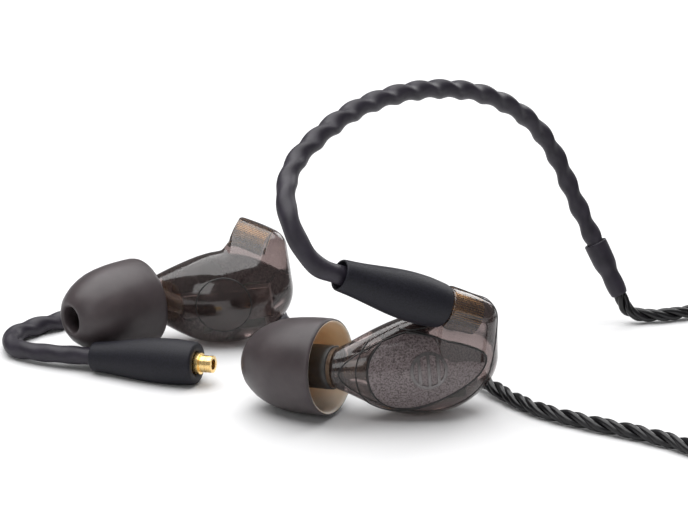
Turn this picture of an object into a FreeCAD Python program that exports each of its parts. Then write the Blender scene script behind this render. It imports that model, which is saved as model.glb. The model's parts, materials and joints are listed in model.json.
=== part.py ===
import FreeCAD, Part
import math
import os

# A pair of in ear monitors with a detachable cable: the left monitor is plugged in and stands
# under its ear loop, the right monitor lies beside its unplugged cable end.
# Millimetres, X to the right, Y away from the viewer, Z up, the floor at Z = 0.

V = FreeCAD.Vector

# ---- Frame ----
# Moves the layout so that the monitors and ear loops are centred over the origin.
FRAME_SHIFT = V(3.6, -17.4, 0.0)

# ---- Poses of the monitors ----
# A monitor's own frame: x towards the nozzle, y up, z out of the faceplate (right side).
# The left monitor is the mirror image, its faceplate towards -z.
LEFT_ORIGIN = V(10.96, -0.16, 7.04)
LEFT_FORWARD = V(-0.984, -0.163, -0.068)
LEFT_UP = V(-0.079, 0.062, 0.995)
RIGHT_ORIGIN = V(-17.3, 29.3, 6.97)
RIGHT_FORWARD = V(-0.990, -0.101, -0.093)
RIGHT_UP = V(-0.104, 0.110, 0.988)

# ---- Shell, in the monitor's own frame ----
SHELL_WALL = 0.9
SEAM_Z = 2.5
# Stations from the rear of the shell to the neck of the nozzle:
# x, y, z of the centre, turn towards the ear in degrees, half height, half thickness.
SHELL_REAR = V(-9.9, 0.3, -0.4)
SHELL_STATIONS = [
    (-9.6, 0.3, -0.40, 0.0, 1.60, 1.30),
    (-8.6, 0.3, -0.40, 0.0, 3.50, 2.70),
    (-6.8, 0.2, -0.40, 0.0, 5.10, 3.90),
    (-4.2, 0.0, -0.40, 0.0, 6.30, 4.80),
    (-1.0, -0.1, -0.40, 0.0, 6.85, 5.20),
    (2.4, -0.1, -0.40, 3.0, 6.70, 5.10),
    (5.6, 0.0, -0.35, 8.0, 5.80, 4.60),
    (8.2, 0.3, -0.30, 18.0, 4.60, 3.90),
    (10.2, 0.6, -0.25, 28.0, 3.50, 3.30),
    (11.7, 0.8, -0.15, 37.6, 2.85, 2.85),
]

# ---- Nozzle and eartip ----
NOZZLE_AXIS = V(0.792, 0.0, -0.610)
NECK = V(11.7, 0.8, -0.15)
STEM_RADIUS = 1.6
STEM_LENGTH = 7.0
STEM_ROOT = 1.2
SOUND_BORE_RADIUS = 0.75
NECK_RING_RADIUS = 2.75
NECK_RING_LENGTH = 0.9
FILTER_LENGTH = 2.5
TIP_START = 1.4
TIP_LENGTH = 12.4
TIP_RADIUS = 6.5
TIP_SKIN = 0.55
TIP_HOLE_RADIUS = 1.85
CORE_RADIUS = 2.95
CORE_BORE_RADIUS = STEM_RADIUS + 0.05
CORE_LENGTH = 9.9
CORE_LEAD = 0.4

# ---- Faceplate, emblem and inner badge ----
FACEPLATE_OUTLINE = [
    (8.6, 0.0), (7.4, 3.4), (4.2, 5.2), (-1.0, 4.4), (-4.7, 3.0),
    (-7.5, 0.5), (-6.3, -1.3), (-3.5, -2.9), (1.5, -4.7), (6.0, -4.4),
]
FACEPLATE_PROUD = 0.12
FACEPLATE_SINK = 0.45
FACEPLATE_LOW_Z = 2.75
EMBLEM_CENTRE = (0.6, 0.4)
EMBLEM_RADIUS = 2.5
EMBLEM_LINE = 0.4
EMBLEM_HEIGHT = 0.12
BADGE_CENTRE = (0.7, -0.5)
BADGE_RADIUS = 4.0
BADGE_SINK = 0.4

# ---- Socket ----
SOCKET_FACE = V(-2.13, 8.36, 2.95)
SOCKET_AXIS = V(0.862, 0.431, 0.266)
HOUSING_RADIUS = 2.9
HOUSING_LENGTH = 5.4
BARREL_RADIUS = 2.2
BARREL_LENGTH = 5.0
SOCKET_BORE_RADIUS = 1.25
SOCKET_BORE_DEPTH = 3.2
SOCKET_MOUTH_RADIUS = 1.6
SOCKET_MOUTH_DEPTH = 0.7
CONTACT_RADIUS = 0.45
CONTACT_BORE_RADIUS = 0.26
CONTACT_REACH = 1.6

# ---- Parts inside the shell: centre, size, in the monitor's own frame ----
WOOFER_CENTRE = V(-2.8, -1.0, -1.5)
WOOFER_SIZE = V(6.4, 4.2, 2.4)
TWEETER_CENTRE = V(3.6, -0.6, -0.6)
TWEETER_SIZE = V(5.0, 3.0, 2.4)
BOARD_CENTRE = V(-0.5, -1.6, 1.5)
BOARD_SIZE = V(8.0, 5.0, 0.6)
TUBE_RADIUS = 1.1
TUBE_BORE_RADIUS = 0.7

# ---- Cable plug ----
PLUG_RADIUS = SOCKET_BORE_RADIUS - 0.05
PLUG_REACH = 2.4
PLUG_HOLLOW_RADIUS = 0.75
PLUG_HOLLOW_DEPTH = 1.6
PLUG_COLLAR_RADIUS = 1.5
PLUG_COLLAR_LENGTH = 0.6
PLUG_ROOT_LENGTH = 2.5
PIN_RADIUS = 0.22
PIN_TIP_SHORT = 0.3
RING_GROOVE_RADIUS = 1.0
RING_GROOVE_START = 1.5
RING_GROOVE_WIDTH = 0.32
RING_WIDTH = 0.26
RING_INNER_RADIUS = 1.03
RING_OUTER_RADIUS = 1.19
RING_GAP = 0.4

# ---- Boot, ear loop and collar ----
BOOT_LENGTH = 16.0
BOOT_WIDE_RADIUS = 2.95
BOOT_NARROW_RADIUS = 2.05
BOOT_BORE_RADIUS = 1.37
BOOT_MOUTH_RADIUS = 1.75
BOOT_MOUTH_DEPTH = 1.6
SLEEVE_RADIUS = 1.33
COLLAR_RADIUS = 1.7
COLLAR_CUP_LENGTH = 4.3
COLLAR_TAIL_RADIUS = 1.5
COLLAR_TAIL_LENGTH = 4.5
COLLAR_OVERLAP = 5.0
COLLAR_BORE_RADIUS = 1.35

# ---- Cable ----
PAIR_RADIUS = 1.1
MAIN_RADIUS = 1.33
SPLIT_LENGTH = 12.0
SPLIT_WIDTH = 7.4
SPLIT_HEIGHT = 4.4
SLIDER_LENGTH = 8.0
SLIDER_BORE_RADIUS = PAIR_RADIUS + 0.05
PAIR_SPACING = 3.0
COIL_OUTER_RADIUS = 22.5
COIL_INNER_RADIUS = 8.8
COIL_HEIGHT = 5.5
COIL_ROUNDING = 1.2
TIE_THICKNESS = 0.4
TIE_WIDTH = 6.0

# ---- Headphone plug ----
JACK_RELIEF_LENGTH = 8.0
JACK_RELIEF_RADIUS = 2.3
JACK_HOUSING_LENGTH = 15.0
JACK_HOUSING_RADIUS = 3.25
JACK_PIN_RADIUS = 1.75
JACK_PIN_LENGTH = 14.0
JACK_CORE_RADIUS = 0.9
JACK_INSULATOR_WIDTH = 0.7
JACK_RING_WIDTH = 2.4
JACK_TIP_LENGTH = 3.6

# ---- Routes, in the layout before FRAME_SHIFT ----
# The ear loops start inside their boots and run straight on by their lead; the pairs start
# inside their collars in the same way.
LEFT_LOOP_LEAD = 4.3
LEFT_LOOP_ROUTE = [
    V(-7.6, -7.4, 30.0), V(-7.2, 0.6, 33.8), V(-3.0, 7.2, 36.8),
    V(1.8, 13.8, 38.8), V(7.8, 20.4, 39.4), V(13.8, 26.4, 38.8), V(20.6, 32.2, 36.8),
    V(27.4, 37.2, 32.2), V(32.0, 39.6, 25.8), V(35.0, 39.6, 18.6), V(40.3, 37.6, 7.9),
]
RIGHT_BOOT_FACE = V(-20.4, 10.5, 3.11)
RIGHT_BOOT_AXIS = V(-0.942, 0.330, -0.056)
RIGHT_LOOP_LEAD = 8.0
RIGHT_LOOP_ROUTE = [
    V(-48.6, 21.6, 1.35), V(-49.2, 28.5, 1.35), V(-42.5, 34.5, 1.35),
    V(-34.0, 40.0, 1.35), V(-24.0, 44.5, 1.35), V(-14.5, 42.5, 1.35), V(-9.6, 35.5, 1.35),
    V(-7.8, 27.5, 1.35), V(-4.0, 19.5, 1.35), V(3.0, 14.5, 1.60), V(11.5, 12.5, 1.85),
]
LEFT_PAIR_LEAD = 7.7
LEFT_PAIR_ROUTE = [
    V(52.5, 38.0, 1.15), V(59.0, 43.5, 1.15), V(68.0, 48.2, 1.15), V(78.0, 49.5, 1.15),
    V(92.9, 49.5, 1.15), V(96.2, 46.1, 1.15), V(96.2, 41.4, 1.15), V(92.9, 38.0, 1.15),
    V(58.8, 38.0, 1.15), V(55.7, 34.9, 1.4), V(55.7, 30.6, 1.9),
    V(58.8, 27.5, 2.2), V(76.0, 27.5, 2.2),
]
RIGHT_PAIR_LEAD = 6.0
RIGHT_PAIR_ROUTE = [
    V(21.6, 4.0, 1.1), V(26.0, -2.2, 1.1), V(32.0, -6.4, 1.1), V(39.0, -10.4, 1.1),
    V(45.0, -15.2, 1.1), V(47.3, -21.5, 1.1), V(47.3, -26.6, 1.1), V(50.3, -29.6, 1.1),
    V(54.8, -29.6, 1.1), V(57.8, -26.6, 1.1), V(57.8, -14.0, 1.1), V(56.4, 4.0, 1.1),
    V(55.5, 21.0, 1.6), V(59.0, 24.5, 2.2), V(76.0, 24.5, 2.2),
]
SPLIT_START = V(76.0, 26.0, 2.2)
SLIDER_START = V(67.5, 26.0, 2.2)
MAIN_ROUTE = [
    V(88.0, 26.0, 2.2), V(96.0, 26.0, 2.0), V(102.6, 23.2, 1.8),
    V(106.0, 16.0, 1.8), V(105.7, 6.0, 1.8), V(105.5, -5.0, 1.8),
]
COIL_CENTRE = V(84.5, -7.0, TIE_THICKNESS)
TAIL_ROUTE = [
    V(83.0, -23.8, 3.6), V(77.5, -23.6, 6.0), V(71.9, -21.8, 7.4), V(67.6, -17.8, 7.5),
    V(67.6, -12.0, 7.7), V(72.0, -7.8, 9.2), V(74.6, -5.4, 9.2),
]


# ---- Building blocks ----

def unit(vector):
    """The vector scaled to length one."""
    return V(vector).normalize()


def at(shape, origin, direction):
    """A shape modelled along +Z, set with its base at origin and turned to direction."""
    moved = shape.copy()
    moved.Placement = FreeCAD.Placement(origin, FreeCAD.Rotation(V(0, 0, 1), unit(direction)))
    return moved


def rod(radius, start, end):
    """A cylinder along +Z between two heights."""
    return Part.makeCylinder(radius, end - start, V(0, 0, start))


def tube(outer, inner, start, end):
    """A hollow cylinder along +Z between two heights."""
    return rod(outer, start, end).cut(rod(inner, start, end))


def turned(outline):
    """A closed outline of (radius, height) points turned about +Z."""
    points = [V(radius, 0, height) for radius, height in outline]
    face = Part.Face(Part.makePolygon(points + points[:1]))
    return face.revolve(V(), V(0, 0, 1), 360)


def spline(points):
    """A smooth curve through (radius, height) points."""
    curve = Part.BSplineCurve()
    curve.interpolate([V(radius, 0, height) for radius, height in points])
    return curve.toShape()


def block(centre, size):
    """A box with softened edges about a centre."""
    box = Part.makeBox(size.x, size.y, size.z, centre - size * 0.5)
    return box.makeFillet(0.2, box.Edges)


def slot_wire(width, height, z):
    """A closed outline with two half-round ends, across +Z."""
    radius = height / 2
    reach = width / 2 - radius
    right_top = V(reach, radius, z)
    right_low = V(reach, -radius, z)
    left_top = V(-reach, radius, z)
    left_low = V(-reach, -radius, z)
    return Part.Wire([
        Part.LineSegment(left_top, right_top).toShape(),
        Part.Arc(right_top, V(reach + radius, 0, z), right_low).toShape(),
        Part.LineSegment(right_low, left_low).toShape(),
        Part.Arc(left_low, V(-reach - radius, 0, z), left_top).toShape(),
    ])


def route_wire(points):
    """Straight runs joined by tangent arcs, as large as the runs allow."""
    edges = []
    radii = []
    start = points[0]
    for before, corner, after in zip(points, points[1:], points[2:]):
        run_in = corner - before
        run_out = after - corner
        half_turn = run_in.getAngle(run_out) / 2
        reach = 0.45 * min(run_in.Length, run_out.Length)
        radius = reach / math.tan(half_turn)
        radii.append(round(radius, 1))
        enter = corner - unit(run_in) * reach
        leave = corner + unit(run_out) * reach
        inward = unit(unit(run_out) - unit(run_in))
        middle = corner + inward * (radius / math.cos(half_turn) - radius)
        edges.append(Part.LineSegment(start, enter).toShape())
        edges.append(Part.Arc(enter, middle, leave).toShape())
        start = leave
    edges.append(Part.LineSegment(start, points[-1]).toShape())
    print("bend radii of the route, in millimetres:", radii)
    return Part.Wire(edges)


def cord(points, radius):
    """A round cord along a route."""
    section = Part.Wire(Part.makeCircle(radius, points[0], points[1] - points[0]))
    return route_wire(points).makePipeShell([section], True, False)


def largest(shape):
    """The biggest solid of a cut result."""
    return max(shape.Solids, key=lambda solid: solid.Volume)


# ---- Shell ----

def shell_section(station, inset):
    """One oval outline of the shell, drawn in by inset."""
    x, y, z, turn, half_height, half_depth = station
    normal = V(math.cos(math.radians(turn)), 0, -math.sin(math.radians(turn)))
    height = half_height - inset
    depth = half_depth - inset
    oval = Part.Ellipse(V(0, height, 0), V(-depth, 0, 0), V())
    return at(Part.Wire(oval.toShape()), V(x, y, z), normal)


def shell_volume(inset, last):
    """The filled shell form, drawn in by inset, up to one of its stations."""
    rear = Part.Vertex(SHELL_REAR + V(inset, 0, 0))
    stations = [s for s in SHELL_STATIONS[:last] if s[5] - inset > 0.5]
    sections = [shell_section(station, inset) for station in stations]
    return Part.makeLoft([rear] + sections, True, False)


def egg_prism(outline):
    """A tall prism over a closed smooth outline, along +Z."""
    curve = Part.BSplineCurve()
    curve.interpolate(Points=[V(x, y, 0) for x, y in outline], PeriodicFlag=True)
    return Part.Face(Part.Wire(curve.toShape())).extrude(V(0, 0, 12))


def shell_parts(outer, sound_path):
    """The inner half with its nozzle stem, and the outer half."""
    cavity = shell_volume(SHELL_WALL, len(SHELL_STATIONS) - 1)
    cup = rod(HOUSING_RADIUS, 0, HOUSING_LENGTH)
    cup = cup.fuse(Part.makeSphere(HOUSING_RADIUS, V(0, 0, HOUSING_LENGTH)))
    housing = at(cup, SOCKET_FACE, SOCKET_AXIS * -1)
    barrel_hole = at(rod(BARREL_RADIUS, -0.5, BARREL_LENGTH), SOCKET_FACE, SOCKET_AXIS * -1)
    above_seam = Part.makeBox(40, 40, 20, V(-20, -20, SEAM_Z))
    skin = outer.cut(cavity)
    cover = largest(skin.common(above_seam).cut(housing))
    stem = at(rod(STEM_RADIUS, -STEM_ROOT, STEM_LENGTH), NECK, NOZZLE_AXIS)
    body = skin.cut(above_seam).fuse([housing, stem])
    neck_side = skin.common(above_seam).cut(housing).cut(cover)
    body = body.fuse(neck_side.Solids) if neck_side.Solids else body
    body = largest(body.cut(cover).cut(barrel_hole).cut(sound_path))
    return body, cover


def surface_inlay(prism, proud, sink, floor_z):
    """A thin plate that follows the shell's outside under a prism."""
    count = len(SHELL_STATIONS)
    plate = shell_volume(-proud, count).cut(shell_volume(sink, count)).common(prism)
    keep = Part.makeBox(40, 40, 20, V(-20, -20, floor_z))
    return largest(plate.common(keep))


def emblem_prism():
    """A plain ring crossed by three bars, as a tall prism along +Z."""
    ring = tube(EMBLEM_RADIUS, EMBLEM_RADIUS - EMBLEM_LINE, 0, 12)
    inside = rod(EMBLEM_RADIUS - EMBLEM_LINE / 2, 0, 12)
    pitch = EMBLEM_RADIUS / 2
    for step in (-1, 0, 1):
        bar = Part.makeBox(
            EMBLEM_LINE, 2 * EMBLEM_RADIUS, 12, V(step * pitch - EMBLEM_LINE / 2, -EMBLEM_RADIUS, 0)
        )
        ring = ring.fuse(bar.common(inside))
    ring.translate(V(EMBLEM_CENTRE[0], EMBLEM_CENTRE[1], 0))
    return ring


def inner_badge():
    """A shallow round inlay in the inner face of the shell."""
    count = len(SHELL_STATIONS)
    prism = Part.makeCylinder(BADGE_RADIUS, 12, V(BADGE_CENTRE[0], BADGE_CENTRE[1], -13))
    layer = shell_volume(0, count).cut(shell_volume(BADGE_SINK, count))
    return largest(layer.common(prism))


# ---- Nozzle and eartip ----

def neck_ring():
    """The metal ring around the root of the stem."""
    ring = tube(NECK_RING_RADIUS, STEM_RADIUS, 0, NECK_RING_LENGTH)
    return at(ring.makeChamfer(0.15, [ring.Edges[0]]), NECK, NOZZLE_AXIS)


def acoustic_filter():
    """The damper pressed into the mouth of the stem."""
    pellet = rod(SOUND_BORE_RADIUS, STEM_LENGTH - FILTER_LENGTH, STEM_LENGTH)
    return at(pellet, NECK, NOZZLE_AXIS)


def eartip_skirt():
    """The soft dome that seals the ear, open towards the shell."""
    lip = TIP_RADIUS - TIP_SKIN / 2
    outside = spline([
        (lip, -0.27), (TIP_RADIUS, 0.3), (TIP_RADIUS, 3.0), (6.25, 6.0), (5.5, 8.6),
        (4.4, 10.6), (3.2, 11.9), (TIP_HOLE_RADIUS + 0.35, TIP_LENGTH),
    ])
    nose = Part.makePolygon([
        V(TIP_HOLE_RADIUS + 0.35, 0, TIP_LENGTH),
        V(TIP_HOLE_RADIUS, 0, TIP_LENGTH - 0.35),
        V(TIP_HOLE_RADIUS, 0, CORE_LENGTH - CORE_LEAD),
        V(CORE_RADIUS, 0, CORE_LENGTH - CORE_LEAD),
    ])
    inside = spline([
        (CORE_RADIUS, CORE_LENGTH - CORE_LEAD), (4.4, 8.6), (5.45, 6.0),
        (5.93, 3.0), (TIP_RADIUS - TIP_SKIN, 0.3), (lip, -0.27),
    ])
    face = Part.Face(Part.Wire([outside] + nose.Edges + [inside]))
    skirt = face.revolve(V(), V(0, 0, 1), 360)
    return at(skirt, NECK + unit(NOZZLE_AXIS) * TIP_START, NOZZLE_AXIS)


def eartip_core():
    """The firm tube of the eartip that grips the stem."""
    start = -CORE_LEAD
    end = CORE_LENGTH - CORE_LEAD
    seat = STEM_LENGTH - TIP_START + 0.05
    core = turned([
        (CORE_BORE_RADIUS, start), (CORE_RADIUS, start), (CORE_RADIUS, end),
        (TIP_HOLE_RADIUS, end), (CORE_BORE_RADIUS, seat),
    ])
    return at(core, NECK + unit(NOZZLE_AXIS) * TIP_START, NOZZLE_AXIS)


# ---- Inside the shell ----

def sound_tube_route():
    """From the root of the stem to the face of the small driver."""
    start = NECK - unit(NOZZLE_AXIS) * STEM_ROOT
    corner = start - unit(NOZZLE_AXIS) * 1.6
    end = V(TWEETER_CENTRE.x + TWEETER_SIZE.x / 2 - 0.3, TWEETER_CENTRE.y, TWEETER_CENTRE.z)
    return [start, corner, end]


def sound_tube(tweeter):
    """The soft tube from the small driver to the stem."""
    route = sound_tube_route()
    return largest(cord(route, TUBE_RADIUS).cut(cord(route, TUBE_BORE_RADIUS)).cut(tweeter))


# ---- Socket ----

def socket_barrel():
    """The gilt outer contact, with a counterbore for the plug's collar."""
    barrel = turned([
        (SOCKET_MOUTH_RADIUS, 0), (BARREL_RADIUS, 0), (BARREL_RADIUS, BARREL_LENGTH),
        (SOCKET_BORE_RADIUS, BARREL_LENGTH), (SOCKET_BORE_RADIUS, SOCKET_MOUTH_DEPTH),
        (SOCKET_MOUTH_RADIUS, SOCKET_MOUTH_DEPTH),
    ])
    return at(barrel, SOCKET_FACE, SOCKET_AXIS * -1)


def socket_insulator():
    """The insulating plug at the bottom of the socket."""
    disc = tube(SOCKET_BORE_RADIUS, CONTACT_RADIUS, SOCKET_BORE_DEPTH, BARREL_LENGTH)
    return at(disc, SOCKET_FACE, SOCKET_AXIS * -1)


def socket_contact():
    """The centre contact that takes the plug's pin."""
    contact = rod(CONTACT_RADIUS, CONTACT_REACH, BARREL_LENGTH)
    bore = rod(CONTACT_BORE_RADIUS, CONTACT_REACH, SOCKET_BORE_DEPTH)
    return at(contact.cut(bore), SOCKET_FACE, SOCKET_AXIS * -1)


def monitor_parts():
    """Every piece of one monitor in its own frame, right side."""
    outer = shell_volume(0, len(SHELL_STATIONS))
    sound_bore = at(rod(SOUND_BORE_RADIUS, -STEM_ROOT, STEM_LENGTH), NECK, NOZZLE_AXIS)
    body, cover = shell_parts(outer, sound_bore.fuse(cord(sound_tube_route(), TUBE_RADIUS)))
    face_prism = egg_prism(FACEPLATE_OUTLINE)
    faceplate = surface_inlay(face_prism, FACEPLATE_PROUD, FACEPLATE_SINK, FACEPLATE_LOW_Z)
    top = FACEPLATE_PROUD + EMBLEM_HEIGHT
    emblem = surface_inlay(emblem_prism(), top, -FACEPLATE_PROUD, FACEPLATE_LOW_Z)
    badge = inner_badge()
    tweeter = block(TWEETER_CENTRE, TWEETER_SIZE)
    return {
        "shell_body": body.cut(badge),
        "shell_cover": cover.cut(faceplate),
        "faceplate": faceplate.cut(body),
        "emblem": emblem,
        "inner_badge": badge,
        "neck_ring": neck_ring(),
        "acoustic_filter": acoustic_filter(),
        "sound_tube": sound_tube(tweeter),
        "woofer_driver": block(WOOFER_CENTRE, WOOFER_SIZE),
        "tweeter_driver": tweeter,
        "crossover_board": block(BOARD_CENTRE, BOARD_SIZE),
        "socket_barrel": socket_barrel(),
        "socket_insulator": socket_insulator(),
        "socket_contact": socket_contact(),
        "eartip_skirt": eartip_skirt(),
        "eartip_core": eartip_core(),
    }


def monitor_placement(origin, forward, up):
    """The placement that carries a monitor's frame into the layout."""
    x_axis = unit(forward)
    z_axis = unit(x_axis.cross(up))
    y_axis = z_axis.cross(x_axis)
    matrix = FreeCAD.Matrix(
        x_axis.x, y_axis.x, z_axis.x, origin.x,
        x_axis.y, y_axis.y, z_axis.y, origin.y,
        x_axis.z, y_axis.z, z_axis.z, origin.z,
        0, 0, 0, 1,
    )
    return FreeCAD.Placement(matrix)


def placed_monitor(parts, side, placement):
    """One monitor's pieces in the layout; the left one is mirrored."""
    placed = {}
    for name, shape in parts.items():
        shape = shape.mirror(V(), V(0, 0, 1)) if side == "left" else shape.copy()
        shape.Placement = placement.multiply(shape.Placement)
        placed[side + "_" + name] = shape
    return placed


# ---- Cable ends ----

def plug_barrel():
    """The gilt plug: a root in the boot, a collar, a hollow nose with a ring groove."""
    groove_end = RING_GROOVE_START + RING_GROOVE_WIDTH
    return turned([
        (PIN_RADIUS, PLUG_ROOT_LENGTH), (PLUG_COLLAR_RADIUS, PLUG_ROOT_LENGTH),
        (PLUG_COLLAR_RADIUS, -PLUG_COLLAR_LENGTH), (PLUG_RADIUS, -PLUG_COLLAR_LENGTH),
        (PLUG_RADIUS, -RING_GROOVE_START), (RING_GROOVE_RADIUS, -RING_GROOVE_START),
        (RING_GROOVE_RADIUS, -groove_end), (PLUG_RADIUS, -groove_end),
        (PLUG_RADIUS, -PLUG_REACH), (PLUG_HOLLOW_RADIUS, -PLUG_REACH),
        (PLUG_HOLLOW_RADIUS, 0), (PIN_RADIUS, 0),
    ])


def plug_insulator():
    """The insulating disc in the plug's hollow nose."""
    return tube(PLUG_HOLLOW_RADIUS, PIN_RADIUS, PLUG_HOLLOW_DEPTH - PLUG_REACH, 0)


def plug_pin():
    """The centre pin of the plug."""
    return rod(PIN_RADIUS, PIN_TIP_SHORT - PLUG_REACH, PLUG_ROOT_LENGTH)


def plug_snap_ring():
    """The open spring ring that snaps into the socket and lets the plug turn."""
    start = -RING_GROOVE_START - (RING_GROOVE_WIDTH + RING_WIDTH) / 2
    ring = tube(RING_OUTER_RADIUS, RING_INNER_RADIUS, start, start + RING_WIDTH)
    gap = Part.makeBox(2, RING_GAP, 1, V(0, -RING_GAP / 2, start - 0.3))
    return ring.cut(gap)


def boot():
    """The tapered boot, bored for the plug's root and the ear loop."""
    outline = turned([
        (PLUG_COLLAR_RADIUS, 0), (BOOT_WIDE_RADIUS - 0.25, 0), (BOOT_WIDE_RADIUS, 0.3),
        (BOOT_WIDE_RADIUS - 0.05, 3.5), (2.72, 7.0), (2.42, 11.0),
        (BOOT_NARROW_RADIUS, BOOT_LENGTH - 0.2), (BOOT_NARROW_RADIUS - 0.15, BOOT_LENGTH),
        (BOOT_MOUTH_RADIUS, BOOT_LENGTH), (BOOT_BORE_RADIUS, BOOT_LENGTH - BOOT_MOUTH_DEPTH),
        (BOOT_BORE_RADIUS, PLUG_ROOT_LENGTH), (PLUG_COLLAR_RADIUS, PLUG_ROOT_LENGTH),
    ])
    return outline


def loop_collar():
    """The shrunk collar over the end of the ear loop: an open cup and a tight tail."""
    total = COLLAR_CUP_LENGTH + COLLAR_TAIL_LENGTH
    return turned([
        (COLLAR_BORE_RADIUS, 0), (COLLAR_RADIUS, 0), (COLLAR_RADIUS, COLLAR_CUP_LENGTH - 0.4),
        (COLLAR_TAIL_RADIUS, COLLAR_CUP_LENGTH + 0.4), (COLLAR_TAIL_RADIUS, total - 0.5),
        (PAIR_RADIUS + 0.2, total), (PAIR_RADIUS, total), (PAIR_RADIUS, COLLAR_OVERLAP),
        (COLLAR_BORE_RADIUS, COLLAR_OVERLAP),
    ])


def cable_end(side, face, axis, loop_lead, loop_route, pair_lead, pair_route):
    """One end of the cable: plug, boot, ear loop, collar and twisted pair."""
    axis = unit(axis)
    loop_start = [face + axis * PLUG_ROOT_LENGTH, face + axis * (BOOT_LENGTH + loop_lead)]
    loop_end = loop_route[-1]
    loop_direction = unit(loop_end - loop_route[-2])
    pieces = {
        "plug_barrel": at(plug_barrel(), face, axis),
        "plug_insulator": at(plug_insulator(), face, axis),
        "plug_pin": at(plug_pin(), face, axis),
        "plug_snap_ring": at(plug_snap_ring(), face, axis),
        "boot": at(boot(), face, axis),
        "ear_loop": cord(loop_start + loop_route, SLEEVE_RADIUS),
        "loop_collar": at(loop_collar(), loop_end - loop_direction * COLLAR_OVERLAP, loop_direction),
        "twisted_pair": cord([loop_end, loop_end + loop_direction * pair_lead] + pair_route, PAIR_RADIUS),
    }
    return {side + "_" + name: shape for name, shape in pieces.items()}


# ---- Slider, split and main cable ----

def y_split():
    """The joint where the two pairs become the main cable."""
    wide = slot_wire(SPLIT_WIDTH, SPLIT_HEIGHT, 0)
    middle = slot_wire(SPLIT_WIDTH, SPLIT_HEIGHT, SPLIT_LENGTH * 0.4)
    narrow = slot_wire(SPLIT_HEIGHT - 0.4, SPLIT_HEIGHT - 0.6, SPLIT_LENGTH)
    return Part.makeLoft([wide, middle, narrow], True, True)


def chin_slider():
    """The bead that slides along both pairs to draw them together."""
    bead = Part.Face(slot_wire(SPLIT_WIDTH, SPLIT_HEIGHT, 0)).extrude(V(0, 0, SLIDER_LENGTH))
    for side in (-1, 1):
        bore = rod(SLIDER_BORE_RADIUS, 0, SLIDER_LENGTH)
        bore.translate(V(side * PAIR_SPACING / 2, 0, 0))
        bead = bead.cut(bore)
    return bead


def flat_along_x(shape, start):
    """A slot-shaped piece modelled along +Z, laid flat with its length along +X."""
    across = FreeCAD.Rotation(V(0, 1, 0), V(0, 0, 1), V(1, 0, 0), "XYZ")
    laid = shape.copy()
    laid.Placement = FreeCAD.Placement(start, across)
    return laid


def cable_coil():
    """The main cable's spare length, wound flat in two layers."""
    ring = tube(COIL_OUTER_RADIUS, COIL_INNER_RADIUS, 0, COIL_HEIGHT)
    ring = ring.makeFillet(COIL_ROUNDING, [edge for edge in ring.Edges if edge.Closed])
    ring.translate(COIL_CENTRE)
    return ring


def coil_tie():
    """The strap around one side of the coil."""
    length = COIL_OUTER_RADIUS - COIL_INNER_RADIUS + 2 * TIE_THICKNESS
    height = COIL_HEIGHT + 2 * TIE_THICKNESS
    start = V(-TIE_WIDTH / 2, -COIL_OUTER_RADIUS - TIE_THICKNESS, -TIE_THICKNESS)
    band = Part.makeBox(TIE_WIDTH, length, height, COIL_CENTRE + start)
    lengthwise = [edge for edge in band.Edges if edge.BoundBox.XLength > TIE_WIDTH / 2]
    band = band.makeFillet(COIL_ROUNDING, lengthwise)
    return band.cut(cable_coil())


def headphone_plug():
    """The stereo plug at the far end, modelled along +Z from its strain relief."""
    start = JACK_RELIEF_LENGTH + JACK_HOUSING_LENGTH
    end = start + JACK_PIN_LENGTH
    tip_start = end - JACK_TIP_LENGTH
    ring_end = tip_start - JACK_INSULATOR_WIDTH
    ring_start = ring_end - JACK_RING_WIDTH
    sleeve_end = ring_start - JACK_INSULATOR_WIDTH
    relief = turned([
        (0, 0), (MAIN_RADIUS + 0.4, 0), (JACK_RELIEF_RADIUS, JACK_RELIEF_LENGTH),
        (0, JACK_RELIEF_LENGTH),
    ])
    housing = turned([
        (0, JACK_RELIEF_LENGTH), (JACK_HOUSING_RADIUS - 0.8, JACK_RELIEF_LENGTH),
        (JACK_HOUSING_RADIUS, JACK_RELIEF_LENGTH + 1.2), (JACK_HOUSING_RADIUS, start - 0.6),
        (JACK_HOUSING_RADIUS - 0.6, start), (0, start),
    ])
    insulator = rod(JACK_CORE_RADIUS, start, tip_start).fuse([
        tube(JACK_PIN_RADIUS, JACK_CORE_RADIUS, sleeve_end, ring_start),
        tube(JACK_PIN_RADIUS, JACK_CORE_RADIUS, ring_end, tip_start),
    ])
    tip = turned([
        (0, tip_start), (JACK_PIN_RADIUS, tip_start), (JACK_PIN_RADIUS - 0.35, tip_start + 0.9),
        (JACK_PIN_RADIUS, tip_start + 1.8), (0.7, end), (0, end),
    ])
    return {
        "jack_strain_relief": relief,
        "jack_housing": housing,
        "jack_sleeve": tube(JACK_PIN_RADIUS, JACK_CORE_RADIUS, start, sleeve_end),
        "jack_insulator": insulator,
        "jack_ring": tube(JACK_PIN_RADIUS, JACK_CORE_RADIUS, ring_start, ring_end),
        "jack_tip": tip,
    }


def main_cable_parts():
    """Slider, split, main cable, coil, tie and headphone plug in the layout."""
    coil = cable_coil()
    parts = {
        "chin_slider": flat_along_x(chin_slider(), SLIDER_START),
        "y_split": flat_along_x(y_split(), SPLIT_START),
        "main_cable": largest(cord(MAIN_ROUTE, MAIN_RADIUS).cut(coil)),
        "cable_coil": coil,
        "coil_tie": coil_tie(),
        "plug_tail": largest(cord(TAIL_ROUTE, MAIN_RADIUS).cut(coil)),
    }
    direction = TAIL_ROUTE[-1] - TAIL_ROUTE[-2]
    for name, shape in headphone_plug().items():
        parts[name] = at(shape, TAIL_ROUTE[-1], V(direction.x, direction.y, 0))
    return parts


# ---- Assembly ----

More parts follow.
